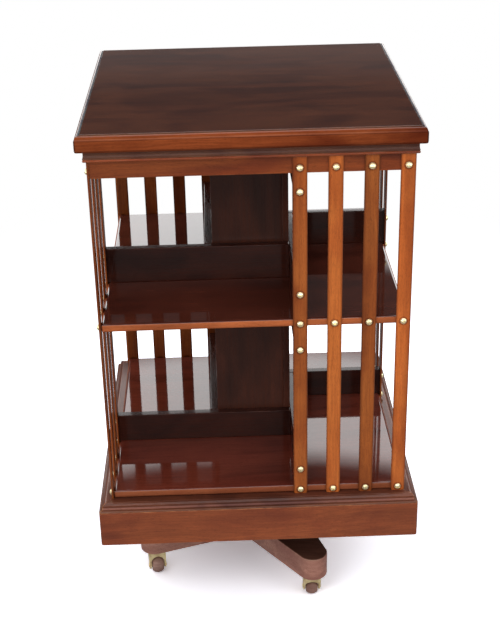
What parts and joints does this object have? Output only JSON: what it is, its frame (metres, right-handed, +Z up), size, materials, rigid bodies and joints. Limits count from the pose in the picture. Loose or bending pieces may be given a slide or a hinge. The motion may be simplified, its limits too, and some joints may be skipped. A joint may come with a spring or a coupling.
{
  "type": "revolving bookcase",
  "caption": "Square revolving bookcase in polished wood with brass-screwed slats, whose case turns on a steel spindle over a cross-shaped stand on casters.",
  "frame": {"origin": "on the floor, on the spindle's axis, under the middle of the bookcase", "axes": "+Z up along the spindle; -Y is the front that the picture shows most of; +X to its right"},
  "size_m": [0.502, 0.502, 0.8415],
  "materials": {
    "top_wood": "polished dark red-brown mahogany",
    "case_wood": "polished red-brown mahogany",
    "inner_wood": "polished dark mahogany",
    "slat_wood": "polished lighter orange-brown mahogany",
    "stand_wood": "matt worn brown",
    "wheel_wood": "turned dark hardwood, worn",
    "brass": "polished, lightly aged",
    "steel": "plain bright steel",
    "iron": "dark cast iron"
  },
  "bodies": {
    "stand": {"leg_rail_lower": "stand_wood", "leg_rail_upper": "stand_wood", "hub_block": "stand_wood", "spindle": "steel", "spindle_flange": "iron", "stand_screws": "steel", "caster_plates": "brass"},
    "case": {"top_board": "top_wood", "case_top": "case_wood", "cornice_front": "case_wood", "cornice_right": "case_wood", "cornice_back": "case_wood", "cornice_left": "case_wood", "frieze_front": "case_wood", "frieze_right": "case_wood", "frieze_back": "case_wood", "frieze_left": "case_wood", "plinth_front": "case_wood", "plinth_right": "case_wood", "plinth_back": "case_wood", "plinth_left": "case_wood", "plinth_cap_front": "case_wood", "plinth_cap_right": "case_wood", "plinth_cap_back": "case_wood", "plinth_cap_left": "case_wood", "mid_shelf": "inner_wood", "base_board": "inner_wood", "column_upper": "inner_wood", "column_lower": "inner_wood", "upper_rails": "inner_wood", "lower_rails": "inner_wood", "bottom_bearer": "inner_wood", "upper_stop_front": "inner_wood", "upper_stop_right": "inner_wood", "upper_stop_back": "inner_wood", "upper_stop_left": "inner_wood", "lower_stop_front": "inner_wood", "lower_stop_right": "inner_wood", "lower_stop_back": "inner_wood", "lower_stop_left": "inner_wood", "slats_front": "slat_wood", "slats_right": "slat_wood", "slats_back": "slat_wood", "slats_left": "slat_wood", "slat_screws": "brass", "case_screws": "steel", "pivot_cup": "iron", "guide_plate": "iron"},
    "caster_front_right": {"horn_front_right": "brass", "axle_front_right": "steel"},
    "roller_front_right": {"wheel_front_right": "wheel_wood"},
    "caster_back_right": {"horn_back_right": "brass", "axle_back_right": "steel"},
    "roller_back_right": {"wheel_back_right": "wheel_wood"},
    "caster_back_left": {"horn_back_left": "brass", "axle_back_left": "steel"},
    "roller_back_left": {"wheel_back_left": "wheel_wood"},
    "caster_front_left": {"horn_front_left": "brass", "axle_front_left": "steel"},
    "roller_front_left": {"wheel_front_left": "wheel_wood"}
  },
  "joints": [
    {"name": "case_spin", "type": "hinge", "parent": "stand", "child": "case", "pos_m": [0, 0, 0.5], "axis": [0, 0, 1], "continuous": true},
    {"name": "swivel_front_right", "type": "hinge", "parent": "stand", "child": "caster_front_right", "pos_m": [0.08913, -0.17568, 0.05], "axis": [0, 0, 1], "continuous": true},
    {"name": "roll_front_right", "type": "hinge", "parent": "caster_front_right", "child": "roller_front_right", "pos_m": [0.08913, -0.16968, 0.014], "axis": [-1, 0, 0], "continuous": true},
    {"name": "swivel_back_right", "type": "hinge", "parent": "stand", "child": "caster_back_right", "pos_m": [0.17568, 0.08913, 0.05], "axis": [0, 0, 1], "continuous": true},
    {"name": "roll_back_right", "type": "hinge", "parent": "caster_back_right", "child": "roller_back_right", "pos_m": [0.18148, 0.09068, 0.014], "axis": [-0.2588, 0.9659, 0], "continuous": true},
    {"name": "swivel_back_left", "type": "hinge", "parent": "stand", "child": "caster_back_left", "pos_m": [-0.08913, 0.17568, 0.05], "axis": [0, 0, 1], "continuous": true},
    {"name": "roll_back_left", "type": "hinge", "parent": "caster_back_left", "child": "roller_back_left", "pos_m": [-0.09477, 0.17774, 0.014], "axis": [-0.342, -0.9397, 0], "continuous": true},
    {"name": "swivel_front_left", "type": "hinge", "parent": "stand", "child": "caster_front_left", "pos_m": [-0.17568, -0.08913, 0.05], "axis": [0, 0, 1], "continuous": true},
    {"name": "roll_front_left", "type": "hinge", "parent": "caster_front_left", "child": "roller_front_left", "pos_m": [-0.17464, -0.09504, 0.014], "axis": [0.9848, 0.1736, 0], "continuous": true}
  ]
}
